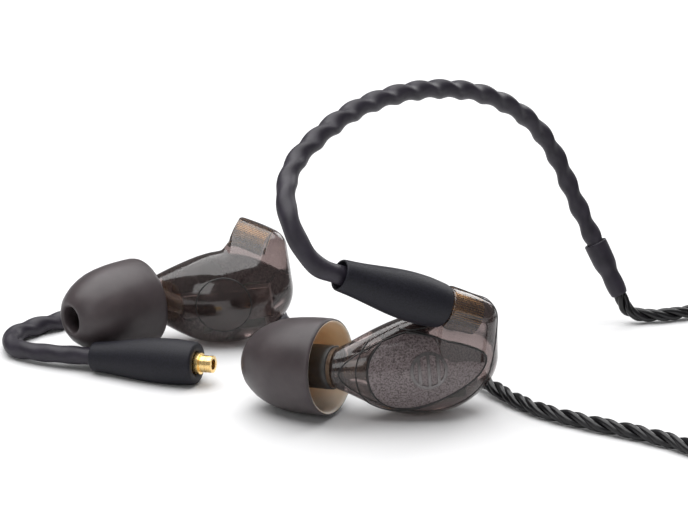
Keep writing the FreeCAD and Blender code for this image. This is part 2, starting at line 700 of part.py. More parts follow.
def build():
    """Every piece of the layout, by node name."""
    parts = monitor_parts()
    left_place = monitor_placement(LEFT_ORIGIN, LEFT_FORWARD, LEFT_UP)
    right_place = monitor_placement(RIGHT_ORIGIN, RIGHT_FORWARD, RIGHT_UP)
    mirrored_face = V(SOCKET_FACE.x, SOCKET_FACE.y, -SOCKET_FACE.z)
    mirrored_axis = V(SOCKET_AXIS.x, SOCKET_AXIS.y, -SOCKET_AXIS.z)
    left_face = left_place.multVec(mirrored_face)
    left_axis = left_place.Rotation.multVec(mirrored_axis)
    nodes = placed_monitor(parts, "left", left_place)
    nodes.update(placed_monitor(parts, "right", right_place))
    nodes.update(cable_end(
        "left", left_face, left_axis, LEFT_LOOP_LEAD, LEFT_LOOP_ROUTE,
        LEFT_PAIR_LEAD, LEFT_PAIR_ROUTE,
    ))
    nodes.update(cable_end(
        "right", RIGHT_BOOT_FACE, RIGHT_BOOT_AXIS, RIGHT_LOOP_LEAD, RIGHT_LOOP_ROUTE,
        RIGHT_PAIR_LEAD, RIGHT_PAIR_ROUTE,
    ))
    nodes.update(main_cable_parts())
    return nodes


os.makedirs("parts", exist_ok=True)
for node, solid in build().items():
    solid.translate(FRAME_SHIFT)
    solid.exportStep("parts/" + node + ".step")
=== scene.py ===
import bpy
import bmesh
import json
import math
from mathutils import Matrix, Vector


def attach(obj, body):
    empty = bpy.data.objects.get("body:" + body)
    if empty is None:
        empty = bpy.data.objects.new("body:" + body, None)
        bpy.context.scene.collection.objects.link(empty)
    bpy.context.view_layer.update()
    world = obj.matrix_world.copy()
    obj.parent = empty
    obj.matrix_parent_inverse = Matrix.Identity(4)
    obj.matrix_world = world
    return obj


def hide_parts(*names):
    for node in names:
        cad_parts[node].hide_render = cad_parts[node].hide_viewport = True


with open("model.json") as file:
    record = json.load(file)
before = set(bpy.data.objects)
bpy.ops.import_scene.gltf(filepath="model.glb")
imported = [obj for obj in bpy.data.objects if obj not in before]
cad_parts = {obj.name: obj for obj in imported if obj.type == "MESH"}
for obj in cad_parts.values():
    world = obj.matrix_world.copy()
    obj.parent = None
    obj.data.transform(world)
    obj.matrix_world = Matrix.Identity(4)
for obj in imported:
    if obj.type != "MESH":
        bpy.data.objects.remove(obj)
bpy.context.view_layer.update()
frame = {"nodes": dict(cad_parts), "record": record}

MM = 0.001
TAU = 2 * math.pi

# ---- Layout, as in the CAD: a point of the layout before the frame shift, in metres ----
FRAME_SHIFT = Vector((3.6, -17.4, 0.0))


def place(x, y, z):
    """A layout point in millimetres, in the row frame in metres."""
    return (Vector((x, y, z)) + FRAME_SHIFT) * MM


# ---- Camera: 100 mm lens, 17 degrees down, in front of the monitors ----
CAMERA_DOWN_DEG = 17.0
CAMERA_PLACE = place(0.0, -239.6, 95.27)

camera_data = bpy.data.cameras.new("camera")
camera_data.lens = 100.0
camera_data.sensor_width = 36.0
camera_data.clip_start = 0.01
camera = bpy.data.objects.new("camera", camera_data)
camera.location = CAMERA_PLACE
camera.rotation_euler = (math.radians(90.0 - CAMERA_DOWN_DEG), 0.0, 0.0)
bpy.context.collection.objects.link(camera)
bpy.context.scene.camera = camera


# ---- Materials: noise is in grains to the metre, a bump's height in metres ----
PLASTIC_ROUGHNESS_SPREAD = 0.06


class Nodes:
    """A small helper around one material's node tree."""

    def __init__(self, name):
        self.material = bpy.data.materials.new(name)
        self.material.use_nodes = True
        self.tree = self.material.node_tree
        self.shader = self.tree.nodes["Principled BSDF"]
        self.coords = self.tree.nodes.new("ShaderNodeTexCoord")

    def new(self, kind):
        """A new node of a kind."""
        return self.tree.nodes.new(kind)

    def link(self, source, target):
        """Joins an output to an input."""
        self.tree.links.new(source, target)

    def set(self, **values):
        """Sets inputs of the shader by name, with underscores for spaces."""
        for key, value in values.items():
            self.shader.inputs[key.replace("_", " ")].default_value = value

    def noise(self, scale, detail=4.0, roughness=0.5):
        """Fractal noise at so many grains to the metre."""
        node = self.new("ShaderNodeTexNoise")
        node.inputs["Scale"].default_value = scale
        node.inputs["Detail"].default_value = detail
        node.inputs["Roughness"].default_value = roughness
        self.link(self.coords.outputs["Object"], node.inputs["Vector"])
        return node.outputs["Fac"]

    def ramp(self, source, stops):
        """A colour ramp over a value; the two stops are (position, colour)."""
        node = self.new("ShaderNodeValToRGB")
        for element, (position, colour) in zip(node.color_ramp.elements, stops):
            element.position = position
            element.color = (*colour, 1.0)
        self.link(source, node.inputs["Fac"])
        return node.outputs["Color"]

    def colour(self, source, stops):
        """The base colour from a value through a ramp."""
        self.link(self.ramp(source, stops), self.shader.inputs["Base Color"])

    def rough(self, source, low, high):
        """The roughness from a value, between two limits."""
        node = self.new("ShaderNodeMapRange")
        node.inputs["To Min"].default_value = low
        node.inputs["To Max"].default_value = high
        self.link(source, node.inputs["Value"])
        self.link(node.outputs["Result"], self.shader.inputs["Roughness"])

    def bump(self, source, height):
        """A bump of so many metres from a value."""
        node = self.new("ShaderNodeBump")
        node.inputs["Distance"].default_value = height
        self.link(source, node.inputs["Height"])
        self.link(node.outputs["Normal"], self.shader.inputs["Normal"])


def smoke_shell_material():
    """Polished translucent smoke plastic, faintly cloudy."""
    m = Nodes("smoke_shell")
    m.set(Transmission_Weight=0.9, IOR=1.44, Coat_Weight=0.3, Coat_Roughness=0.05)
    m.colour(m.noise(260.0, 3.0), [(0.3, (0.165, 0.122, 0.118)), (0.7, (0.275, 0.208, 0.200))])
    m.rough(m.noise(700.0), 0.06, 0.16)
    m.bump(m.noise(420.0, 2.0), 0.00002)
    return m.material


def faceplate_material():
    """Translucent smoke plastic with a fine sparkling texture."""
    m = Nodes("faceplate")
    m.set(Transmission_Weight=0.35, IOR=1.46, Coat_Weight=0.4, Coat_Roughness=0.12)
    grain = m.noise(4200.0, 2.0, 0.7)
    m.colour(grain, [(0.38, (0.075, 0.054, 0.056)), (0.62, (0.31, 0.25, 0.255))])
    m.rough(grain, 0.22, 0.42)
    m.bump(grain, 0.00006)
    return m.material


def emblem_material():
    """Satin grey metal film."""
    m = Nodes("emblem")
    m.set(Metallic=0.9)
    m.colour(m.noise(2600.0), [(0.3, (0.12, 0.11, 0.11)), (0.7, (0.20, 0.19, 0.19))])
    m.rough(m.noise(1500.0), 0.28, 0.42)
    return m.material


def silicone_material():
    """Translucent smoke silicone with a satin skin."""
    m = Nodes("tip_silicone")
    m.set(Transmission_Weight=0.3, IOR=1.41, Coat_Weight=0.15, Coat_Roughness=0.4)
    m.colour(m.noise(350.0, 3.0), [(0.3, (0.052, 0.040, 0.043)), (0.7, (0.076, 0.060, 0.064))])
    m.rough(m.noise(900.0), 0.36, 0.48)
    m.bump(m.noise(2600.0, 3.0), 0.000008)
    return m.material


def core_material():
    """Firm black silicone of the eartip's core."""
    m = Nodes("tip_core")
    m.colour(m.noise(900.0), [(0.3, (0.010, 0.010, 0.010)), (0.7, (0.022, 0.020, 0.020))])
    m.rough(m.noise(1200.0), 0.34, 0.5)
    m.bump(m.noise(2500.0), 0.00001)
    return m.material


def boot_material():
    """Blue-black rubber with a fine spark-eroded grain."""
    m = Nodes("boot_rubber")
    m.set(Specular_IOR_Level=0.28)
    grain = m.noise(5200.0, 2.0, 0.6)
    m.colour(grain, [(0.35, (0.004, 0.004, 0.007)), (0.7, (0.012, 0.0115, 0.019))])
    m.rough(grain, 0.46, 0.62)
    m.bump(grain, 0.00003)
    return m.material


def sleeve_material():
    """Dark violet-grey shrink sleeve, matte with a soft sheen."""
    m = Nodes("loop_sleeve")
    m.set(Specular_IOR_Level=0.4)
    m.colour(m.noise(600.0), [(0.3, (0.012, 0.0095, 0.016)), (0.7, (0.022, 0.018, 0.028))])
    m.rough(m.noise(1400.0), 0.42, 0.56)
    m.bump(m.noise(3000.0, 3.0), 0.00001)
    return m.material


def jacket_material():
    """Glossy black cable jacket."""
    m = Nodes("cable_jacket")
    m.set(Specular_IOR_Level=0.42)
    m.colour(m.noise(800.0), [(0.3, (0.0025, 0.0024, 0.003)), (0.7, (0.006, 0.0056, 0.0072))])
    m.rough(m.noise(1500.0), 0.24, 0.36)
    m.bump(m.noise(2000.0), 0.000008)
    return m.material


def gilt_material():
    """Polished gilt brass with faint turning marks."""
    m = Nodes("gilt_metal")
    m.set(Metallic=1.0)
    m.colour(m.noise(1500.0), [(0.3, (0.86, 0.56, 0.20)), (0.7, (0.97, 0.73, 0.34))])
    m.rough(m.noise(4000.0), 0.2, 0.36)
    m.bump(m.noise(6000.0), 0.000006)
    return m.material


def metal_material(name, dark, light):
    """Satin metal between two greys."""
    m = Nodes(name)
    m.set(Metallic=1.0)
    m.colour(m.noise(2200.0), [(0.3, dark), (0.7, light)])
    m.rough(m.noise(3000.0), 0.28, 0.45)
    m.bump(m.noise(7000.0), 0.000005)
    return m.material


def plain_material(name, dark, light, rough):
    """Moulded plastic between two shades, around a roughness."""
    m = Nodes(name)
    m.colour(m.noise(1100.0), [(0.3, dark), (0.7, light)])
    m.rough(m.noise(1700.0), rough - PLASTIC_ROUGHNESS_SPREAD, rough + PLASTIC_ROUGHNESS_SPREAD)
    m.bump(m.noise(4000.0), 0.00001)
    return m.material


def tube_material():
    """Soft clear tubing, slightly yellow."""
    m = Nodes("clear_tube")
    m.set(Transmission_Weight=0.7, IOR=1.42)
    m.colour(m.noise(900.0), [(0.3, (0.62, 0.57, 0.47)), (0.7, (0.76, 0.71, 0.60))])
    m.rough(m.noise(1300.0), 0.15, 0.3)
    return m.material


def strap_material():
    """Woven black strap."""
    m = Nodes("tie_strap")
    weave = m.new("ShaderNodeTexChecker")
    weave.inputs["Scale"].default_value = 2500.0
    m.link(m.coords.outputs["Object"], weave.inputs["Vector"])
    m.colour(weave.outputs["Fac"], [(0.0, (0.010, 0.010, 0.011)), (1.0, (0.030, 0.030, 0.033))])
    m.set(Roughness=0.8, Sheen_Weight=0.3)
    m.bump(weave.outputs["Fac"], 0.00005)
    return m.material


MATERIALS = {
    "smoke_shell": smoke_shell_material(),
    "faceplate": faceplate_material(),
    "emblem": emblem_material(),
    "neck_ring": metal_material("neck_ring", (0.16, 0.13, 0.11), (0.26, 0.22, 0.19)),
    "filter_mesh": metal_material("filter_mesh", (0.30, 0.28, 0.25), (0.45, 0.42, 0.38)),
    "clear_tube": tube_material(),
    "driver_case": metal_material("driver_case", (0.20, 0.18, 0.17), (0.34, 0.31, 0.30)),
    "circuit_board": plain_material("circuit_board", (0.02, 0.05, 0.02), (0.05, 0.10, 0.05), 0.35),
    "gilt_metal": gilt_material(),
    "insulator": plain_material("insulator", (0.62, 0.55, 0.42), (0.74, 0.67, 0.54), 0.45),
    "tip_silicone": silicone_material(),
    "tip_core": core_material(),
    "boot_rubber": boot_material(),
    "loop_sleeve": sleeve_material(),
    "cable_jacket": jacket_material(),
    "tie_strap": strap_material(),
}

for subpart in frame["record"]["subparts"]:
    node = frame["nodes"][subpart["node"]]
    node.data.materials.clear()
    node.data.materials.append(MATERIALS[subpart["material_slot"]])


# ---- Stage and light ----
FLOOR_HALF_WIDTH = 2.5
FLOOR_GAP = 0.02 * MM
WORLD_STRENGTH = 0.2


def area_light(name, location, target, size, watts):
    """A square soft light aimed at a point."""
    data = bpy.data.lights.new(name, "AREA")
    data.size = size
    data.energy = watts
    light = bpy.data.objects.new(name, data)
    light.location = location
    light.rotation_euler = (Vector(target) - Vector(location)).to_track_quat("-Z", "Y").to_euler()
    bpy.context.collection.objects.link(light)


def make_floor():
    """A wide pale floor, just under the object."""
    mesh = bpy.data.meshes.new("floor")
    half = FLOOR_HALF_WIDTH
    corners = [(-half, -half, 0), (half, -half, 0), (half, half, 0), (-half, half, 0)]
    mesh.from_pydata(corners, [], [(0, 1, 2, 3)])
    floor = bpy.data.objects.new("floor", mesh)
    floor.location.z = -FLOOR_GAP
    bpy.context.collection.objects.link(floor)
    m = Nodes("floor")
    m.set(Base_Color=(0.74, 0.74, 0.745, 1.0), Roughness=0.6, Specular_IOR_Level=0.25)
    mesh.materials.append(m.material)


make_floor()
area_light("overhead", (-0.10, 0.10, 0.75), (0.0, 0.0, 0.0), 1.1, 13.4)
area_light("rim", (0.35, 0.50, 0.30), (0.0, 0.0, 0.01), 0.30, 1.2)
area_light("front", (-0.25, -0.55, 0.30), (0.0, 0.0, 0.01), 0.25, 0.5)
world = bpy.data.worlds.new("world")
world.use_nodes = True
background = world.node_tree.nodes["Background"]
background.inputs["Color"].default_value = (1.0, 1.0, 1.0, 1.0)
background.inputs["Strength"].default_value = WORLD_STRENGTH
bpy.context.scene.world = world
bpy.context.scene.view_settings.view_transform = "Standard"


# ---- Lines and tubes ----
ROUTE_RESOLUTION = 24
ROUTE_ORDER = 3
LEAST_STEPS = 2
MOST_SMOOTH_CORNERS = 4


def centreline(points):
    """Points along the smooth NURBS line of a route."""
    curve = bpy.data.curves.new("route", "CURVE")
    curve.dimensions = "3D"
    curve.resolution_u = ROUTE_RESOLUTION
    spline = curve.splines.new("NURBS")
    spline.points.add(len(points) - 1)
    for target, point in zip(spline.points, points):
        target.co = (*point, 1.0)
    spline.order_u = ROUTE_ORDER
    spline.use_endpoint_u = True
    holder = bpy.data.objects.new("route", curve)
    mesh = bpy.data.meshes.new_from_object(holder)
    line = [vertex.co.copy() for vertex in mesh.vertices]
    bpy.data.objects.remove(holder)
    bpy.data.meshes.remove(mesh)
    bpy.data.curves.remove(curve)
    return line


def length_of(line):
    """The length of a line."""
    return sum((b - a).length for a, b in zip(line, line[1:]))


def even(line, step):
    """The same line with points an even step apart."""
    total = length_of(line)
    count = max(LEAST_STEPS, round(total / step))
    gap = total / count
    out = [line[0].copy()]
    travelled = 0.0
    for a, b in zip(line, line[1:]):
        length = (b - a).length
        while len(out) < count and travelled + length >= gap * len(out):
            out.append(a.lerp(b, (gap * len(out) - travelled) / length))
        travelled += length
    out.append(line[-1].copy())
    return out


def frames_along(line):
    """A pair of cross directions at each point, turning as little as possible."""
    frames = []
    ahead = (line[1] - line[0]).normalized()
    normal = ahead.orthogonal().normalized()
    for index in range(len(line)):
        before = line[max(index - 1, 0)]
        after = line[min(index + 1, len(line) - 1)]
        tangent = (after - before).normalized()
        normal = (normal - tangent * normal.dot(tangent)).normalized()
        frames.append((normal.copy(), tangent.cross(normal)))
    return frames


def tube_into(builder, line, frames, sides, section):
    """Adds a closed tube; section(distance, angle) gives its two cross offsets."""
    rings = []
    travelled = 0.0
    for index, (centre, (normal, side)) in enumerate(zip(line, frames)):
        if index:
            travelled += (centre - line[index - 1]).length
        ring = []
        for step in range(sides):
            x, y = section(travelled, TAU * step / sides)
            ring.append(builder.verts.new(centre + normal * x + side * y))
        rings.append(ring)
    for low, high in zip(rings, rings[1:]):
        for step in range(sides):
            following = (step + 1) % sides
            builder.faces.new((low[step], low[following], high[following], high[step]))
    builder.faces.new(list(reversed(rings[0])))
    builder.faces.new(rings[-1])


def finish_mesh(name, builder, material, body):
    """A smooth-shaded object from a bmesh, pressed flat where it meets the floor, on a body."""
    for vertex in builder.verts:
        vertex.co.z = max(vertex.co.z, 0.0)
    bmesh.ops.recalc_face_normals(builder, faces=builder.faces)
    mesh = bpy.data.meshes.new(name)
    builder.to_mesh(mesh)
    builder.free()
    for polygon in mesh.polygons:
        polygon.use_smooth = len(polygon.vertices) <= MOST_SMOOTH_CORNERS
    mesh.materials.append(MATERIALS[material])
    piece = bpy.data.objects.new(name, mesh)
    bpy.context.collection.objects.link(piece)
    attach(piece, body)
    return piece


def strands(name, line, phases, strand_radius, lay_radius, pitch, step, sides):
    """Strands twisted around a line, one for each phase in degrees."""
    builder = bmesh.new()
    line = even(line, step)
    frames = frames_along(line)
    for phase in phases:

        def section(distance, angle, phase=phase):
            turn = TAU * distance / pitch + math.radians(phase)
            x = lay_radius * math.cos(turn) + strand_radius * math.cos(angle)
            y = lay_radius * math.sin(turn) + strand_radius * math.sin(angle)
            return x, y

        tube_into(builder, line, frames, sides, section)
    return finish_mesh(name, builder, "cable_jacket", "cable")


# ---- Ear loops: a shrink sleeve drawn over the twisted pair and its memory wire ----
SLEEVE_WIDE = 1.45 * MM
SLEEVE_NARROW = 1.13 * MM
SLEEVE_PITCH = 8.8 * MM
SLEEVE_EVEN = (SLEEVE_WIDE + SLEEVE_NARROW) / 2
SMOOTH_TO = 22.0 * MM
LUMPY_FROM = 44.0 * MM
SLEEVE_TAPER = 0.25
SLEEVE_TAPER_LENGTH = 4.5 * MM
SLEEVE_STEP = 0.35 * MM
SLEEVE_SIDES = 28
LEAST_LUMPY = 0.3


def sleeve(name, line, node):
    """The sleeve of one ear loop: smooth in its boot, then showing the twist inside it."""
    builder = bmesh.new()
    line = even(line, SLEEVE_STEP)
    total = length_of(line)

    def section(distance, angle):
        turn = TAU * distance / SLEEVE_PITCH
        slim = 1 - SLEEVE_TAPER * max(0.0, 1 - (total - distance) / SLEEVE_TAPER_LENGTH)
        fade = min(1.0, max(0.0, (distance - SMOOTH_TO) / (LUMPY_FROM - SMOOTH_TO)))
        lumpy = LEAST_LUMPY + (1 - LEAST_LUMPY) * fade
        x = slim * (SLEEVE_EVEN + (SLEEVE_WIDE - SLEEVE_EVEN) * lumpy) * math.cos(angle)
        y = slim * (SLEEVE_EVEN + (SLEEVE_NARROW - SLEEVE_EVEN) * lumpy) * math.sin(angle)
        return x * math.cos(turn) - y * math.sin(turn), x * math.sin(turn) + y * math.cos(turn)

    tube_into(builder, line, frames_along(line), SLEEVE_SIDES, section)
    piece = finish_mesh(name, builder, "loop_sleeve", "cable")
    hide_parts(node)


# ---- Routes, in millimetres of the layout: the same points as the CAD, and the cords' make-up ----
LEFT_FACE = Vector((12.86, -2.20, 15.72))
LEFT_AXIS = Vector((-0.8407, -0.3758, 0.3899))
RIGHT_FACE = Vector((-20.4, 10.5, 3.11))
RIGHT_AXIS = Vector((-0.9423, 0.3301, -0.0560))
LEFT_LOOP_ROUTE = [
    (-7.6, -7.4, 30.0), (-7.2, 0.6, 33.8), (-3.0, 7.2, 36.8),
    (1.8, 13.8, 38.8), (7.8, 20.4, 39.4), (13.8, 26.4, 38.8), (20.6, 32.2, 36.8),
    (27.4, 37.2, 32.2), (32.0, 39.6, 25.8), (35.0, 39.6, 18.6), (40.3, 37.6, 7.9),
]
RIGHT_LOOP_ROUTE = [
    (-48.6, 21.6, 1.35), (-49.2, 28.5, 1.35), (-42.5, 34.5, 1.35),
    (-34.0, 40.0, 1.35), (-24.0, 44.5, 1.35), (-14.5, 42.5, 1.35), (-9.6, 35.5, 1.35),
    (-7.8, 27.5, 1.35), (-4.0, 19.5, 1.35), (3.0, 14.5, 1.60), (11.5, 12.5, 1.85),
]
LEFT_PAIR_ROUTE = [
    (52.5, 38.0, 1.15), (59.0, 43.5, 1.15), (68.0, 48.2, 1.15), (78.0, 49.5, 1.15),
    (92.9, 49.5, 1.15), (96.2, 46.1, 1.15), (96.2, 41.4, 1.15), (92.9, 38.0, 1.15),
    (58.8, 38.0, 1.15), (55.7, 34.9, 1.4), (55.7, 30.6, 1.9), (58.8, 27.5, 2.2), (76.0, 27.5, 2.2),
]
RIGHT_PAIR_ROUTE = [
    (21.6, 4.0, 1.1), (26.0, -2.2, 1.1), (32.0, -6.4, 1.1), (39.0, -10.4, 1.1),
    (45.0, -15.2, 1.1), (47.3, -21.5, 1.1), (47.3, -26.6, 1.1), (50.3, -29.6, 1.1),
    (54.8, -29.6, 1.1), (57.8, -26.6, 1.1), (57.8, -14.0, 1.1), (56.4, 4.0, 1.1),
    (55.5, 21.0, 1.6), (59.0, 24.5, 2.2), (76.0, 24.5, 2.2),
]
MAIN_ROUTE = [
    (88.0, 26.0, 2.2), (96.0, 26.0, 2.0), (102.6, 23.2, 1.8), (106.0, 16.0, 1.8), (105.7, 6.0, 1.8),
]
TAIL_ROUTE = [
    (78.9, -27.8, 4.6), (73.1, -25.2, 5.7), (69.0, -20.9, 7.2), (67.4, -16.4, 7.5),
    (67.6, -12.0, 7.7), (72.0, -7.8, 9.2), (74.6, -5.4, 9.2),
]
LEFT_LOOP_LEADS = (2.5, 9.0, 15.5, 20.3)
RIGHT_LOOP_LEADS = (2.5, 9.0, 16.5, 24.0)
LEFT_PAIR_LEADS = (0.0, 4.0, 7.7)
RIGHT_PAIR_LEADS = (0.0, 6.0)
PAIR_PITCH = 8.6 * MM
PAIR_PHASES = (-33, 33, 147, 213)
PAIR_STRAND = 0.49 * MM
PAIR_LAY = 0.54 * MM
MAIN_PITCH = 12.0 * MM
MAIN_PHASES = (0, 90, 180, 270)
MAIN_STRAND = 0.55 * MM
MAIN_LAY = 0.78 * MM
STRAND_STEP = 0.3 * MM
STRAND_SIDES = 10
MAIN_STRAND_STEP = 0.7 * MM
MAIN_STRAND_SIDES = 8


def loop_points(face, axis, leads, route):
    """Control points of an ear loop: straight in its boot, then its route."""
    start = [face + axis * lead for lead in leads]
    return [place(*point) for point in start] + [place(*point) for point in route]


def pair_points(loop_route, leads, route):
    """Control points of a pair: straight on from the loop's end, then its route."""
    end = Vector(loop_route[-1])
    onward = (end - Vector(loop_route[-2])).normalized()
    start = [end + onward * lead for lead in leads]
    return [place(*point) for point in start] + [place(*point) for point in route]


left_loop = centreline(loop_points(LEFT_FACE, LEFT_AXIS, LEFT_LOOP_LEADS, LEFT_LOOP_ROUTE))
right_loop = centreline(loop_points(RIGHT_FACE, RIGHT_AXIS, RIGHT_LOOP_LEADS, RIGHT_LOOP_ROUTE))
sleeve("left_ear_loop_sleeve", left_loop, "left_ear_loop")
sleeve("right_ear_loop_sleeve", right_loop, "right_ear_loop")


# ---- Turned pieces: eartips, boots, collars ----
LATHE_SIDES = 72
CORNER_CUT = 0.25


def rounded(outline, passes):
    """A closed outline with its corners cut back, pass after pass."""
    for _ in range(passes):
        cut = []
        for (r0, h0), (r1, h1) in zip(outline, outline[1:] + outline[:1]):
            for far in (CORNER_CUT, 1 - CORNER_CUT):
                cut.append(((1 - far) * r0 + far * r1, (1 - far) * h0 + far * h1))
        outline = cut
    return outline


def lathe(name, outline, origin, axis, slot, node, body, inner_material=None, inner_from=None):
    """A closed outline of (radius, height) in millimetres, turned about an axis.

    From the outline point numbered inner_from on, the surface takes the inner material.
    """
    builder = bmesh.new()
    axis = Vector(axis).normalized()
    across = axis.orthogonal().normalized()
    aside = axis.cross(across)
    rings = []
    for radius, height in outline:
        ring = []
        for step in range(LATHE_SIDES):
            angle = TAU * step / LATHE_SIDES
            out = across * math.cos(angle) + aside * math.sin(angle)
            ring.append(builder.verts.new(origin + (axis * height + out * radius) * MM))
        rings.append(ring)
    for index, low in enumerate(rings):
        high = rings[(index + 1) % len(rings)]
        for step in range(LATHE_SIDES):
            following = (step + 1) % LATHE_SIDES
            face = builder.faces.new((low[step], low[following], high[following], high[step]))
            face.material_index = int(inner_material is not None and index >= inner_from)
    piece = finish_mesh(name, builder, slot, body)
    for polygon in piece.data.polygons:
        polygon.use_smooth = True
    if inner_material is not None:
        piece.data.materials.append(inner_material)
    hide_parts(node)


BOOT_OUTLINE = [
    (1.50, 0.0), (2.70, 0.0), (2.95, 0.25), (3.10, 1.5), (3.26, 3.5), (3.22, 6.0), (2.98, 8.5),
    (2.62, 11.0), (2.28, 13.5), (2.12, 15.4), (2.05, 16.0), (1.78, 16.0), (1.70, 15.2),
    (1.48, 14.4), (1.37, 14.0), (1.37, 2.6), (1.50, 2.5),
]
COLLAR_OUTLINE = [
    (1.46, 0.0), (1.72, 0.0), (1.76, 0.3), (1.75, 2.0), (1.72, 3.4), (1.58, 4.2), (1.36, 4.9),
    (1.33, 5.5), (1.42, 6.5), (1.42, 7.5), (1.32, 8.4), (1.20, 8.8), (1.08, 8.8), (1.08, 5.2),
    (1.25, 4.8), (1.44, 3.8),
]
SKIRT_OUTSIDE = [
    (6.22, -0.20), (6.42, -0.12), (6.50, 0.30), (6.52, 1.5), (6.50, 3.0), (6.40, 4.6),
    (6.22, 6.1), (5.92, 7.5), (5.48, 8.7), (4.95, 9.8), (4.35, 10.7), (3.70, 11.5),
    (3.00, 12.05), (2.45, 12.35), (2.05, 12.35), (1.88, 12.1), (1.85, 11.4), (1.85, 9.7),
]
SKIRT_INSIDE = [
    (2.95, 9.6), (3.70, 9.15), (4.40, 8.55), (4.95, 7.5), (5.42, 6.1), (5.75, 4.6),
    (5.92, 3.0), (5.97, 1.5), (5.97, 0.3), (6.05, -0.12),
]
CORE_OUTLINE = [
    (1.62, -0.8), (2.85, -0.8), (2.95, -0.7), (2.95, 3.0), (2.85, 3.2), (2.95, 3.4),
    (2.95, 9.4), (2.90, 9.6), (1.90, 9.6), (1.62, 5.7),
]


def tip_inside_painted_glow_material():
    """The eartip's inside: the same dark silicone, given a painted tan glow that stands for the light
    coming through the skirt; subsurface scattering carries part of that light.
    """
    m = Nodes("tip_inside_painted_glow")
    m.set(Subsurface_Weight=0.9, Subsurface_Scale=0.0012, IOR=1.41)
    m.shader.inputs["Subsurface Radius"].default_value = (1.0, 0.9, 0.8)
    # Painted light: this tan base colour stands for light coming through the dark skirt, not for the
    # silicone's own colour.
    m.colour(m.noise(350.0, 3.0), [(0.3, (0.72, 0.60, 0.50)), (0.7, (0.82, 0.70, 0.60))])
    m.rough(m.noise(900.0), 0.3, 0.45)
    return m.material


# The inner surface's material, with its painted glow of light through the skirt.
TIP_INSIDE_PAINTED_GLOW = tip_inside_painted_glow_material()

# Each side's places, in millimetres of the layout, and its directions, as in the CAD.
PLACES = {
    "left": {
        "face": LEFT_FACE, "axis": LEFT_AXIS, "loop": LEFT_LOOP_ROUTE,
        "neck": Vector((-0.643, -1.870, 7.029)), "nozzle": Vector((-0.876, 0.472, -0.099)),
        "socket_face": LEFT_FACE, "socket_axis": LEFT_AXIS, "forward": Vector((-0.984, -0.163, -0.068)),
        "seam": Vector((11.355, -2.622, 7.225)), "outward": Vector((0.158, -0.985, 0.074)),
    },
    "right": {
        "face": RIGHT_FACE, "axis": RIGHT_AXIS, "loop": RIGHT_LOOP_ROUTE,
        "neck": Vector((-28.959, 28.057, 6.690)), "nozzle": Vector((-0.730, -0.683, -0.001)),
        "socket_face": Vector((-16.325, 33.352, 15.079)), "socket_axis": Vector((-0.923, 0.223, 0.314)),
        "forward": Vector((-0.990, -0.101, -0.093)),
        "seam": Vector((-17.524, 31.772, 6.671)), "outward": Vector((-0.090, 0.989, -0.120)),
    },
}
TIP_START = 1.4
COLLAR_OVERLAP = 5.0

for side, spots in PLACES.items():
    base = place(*(spots["neck"] + spots["nozzle"] * TIP_START))
    tip = side + "_eartip"
    # The skirt's inner face takes the material with the painted tan glow of light through the skirt.
    lathe(
        tip + "_dome", SKIRT_OUTSIDE + SKIRT_INSIDE, base, spots["nozzle"], "tip_silicone",
        tip + "_skirt", tip, inner_material=TIP_INSIDE_PAINTED_GLOW, inner_from=len(SKIRT_OUTSIDE) - 1,
    )
    lathe(
        tip + "_tube", rounded(CORE_OUTLINE, 1), base, spots["nozzle"], "tip_core",
        tip + "_core", tip,
    )
    lathe(
        side + "_boot_skin", rounded(BOOT_OUTLINE, 2), place(*spots["face"]), spots["axis"],
        "boot_rubber", side + "_boot", "cable",
    )
    loop_end = Vector(spots["loop"][-1])
    onward = (loop_end - Vector(spots["loop"][-2])).normalized()
    lathe(
        side + "_collar_skin", rounded(COLLAR_OUTLINE, 2),
        place(*(loop_end - onward * COLLAR_OVERLAP)), onward,
        "loop_sleeve", side + "_loop_collar", "cable",
    )


# ---- Shells: one clear skin over body and cover, its socket housing run into its shoulder ----
SLICE = 0.9 * MM
SAMPLE_STEP = 0.45 * MM
SKIN_VOXEL = 0.2 * MM
SKIN_SMOOTHING = 14
SKIN_SMOOTHING_FACTOR = 0.5
STEM_RADIUS = 1.6
STEM_BORE = 1.05
STEM_LENGTH = 7.0
BARREL_RADIUS = 2.2
BARREL_LENGTH = 5.0
OVERRUN = 1.5
RING_SIDES = 48
SLICE_OVERLAP = 0.15
LEAST_SLICE_POINTS = 8
STEM_MARGIN = 0.2 * MM
SAME_POINT = 0.0001 * MM


def surface_samples(node):
    """Points spread over a node's surface."""
    points = []
    mesh = node.data
    mesh.calc_loop_triangles()
    for triangle in mesh.loop_triangles:
        a, b, c = (mesh.vertices[index].co for index in triangle.vertices)
        longest = max((b - a).length, (c - b).length, (a - c).length)
        count = max(1, math.ceil(longest / SAMPLE_STEP))
        for i in range(count + 1):
            for j in range(count + 1 - i):
                points.append(a + (b - a) * (i / count) + (c - a) * (j / count))
    return points


def add_hull(builder, points):
    """Adds the convex hull of some points as a closed mesh."""
    hull = bmesh.new()
    for point in points:
        hull.verts.new(point)
    made = bmesh.ops.convex_hull(hull, input=hull.verts)
    spare = set(made["geom_interior"]) | set(made["geom_unused"])
    loose = [item for item in hull.verts if item in spare]
    bmesh.ops.delete(hull, geom=loose, context="VERTS")
    copies = {vertex: builder.verts.new(vertex.co) for vertex in hull.verts}
    for face in hull.faces:
        builder.faces.new([copies[vertex] for vertex in face.verts])
    hull.free()


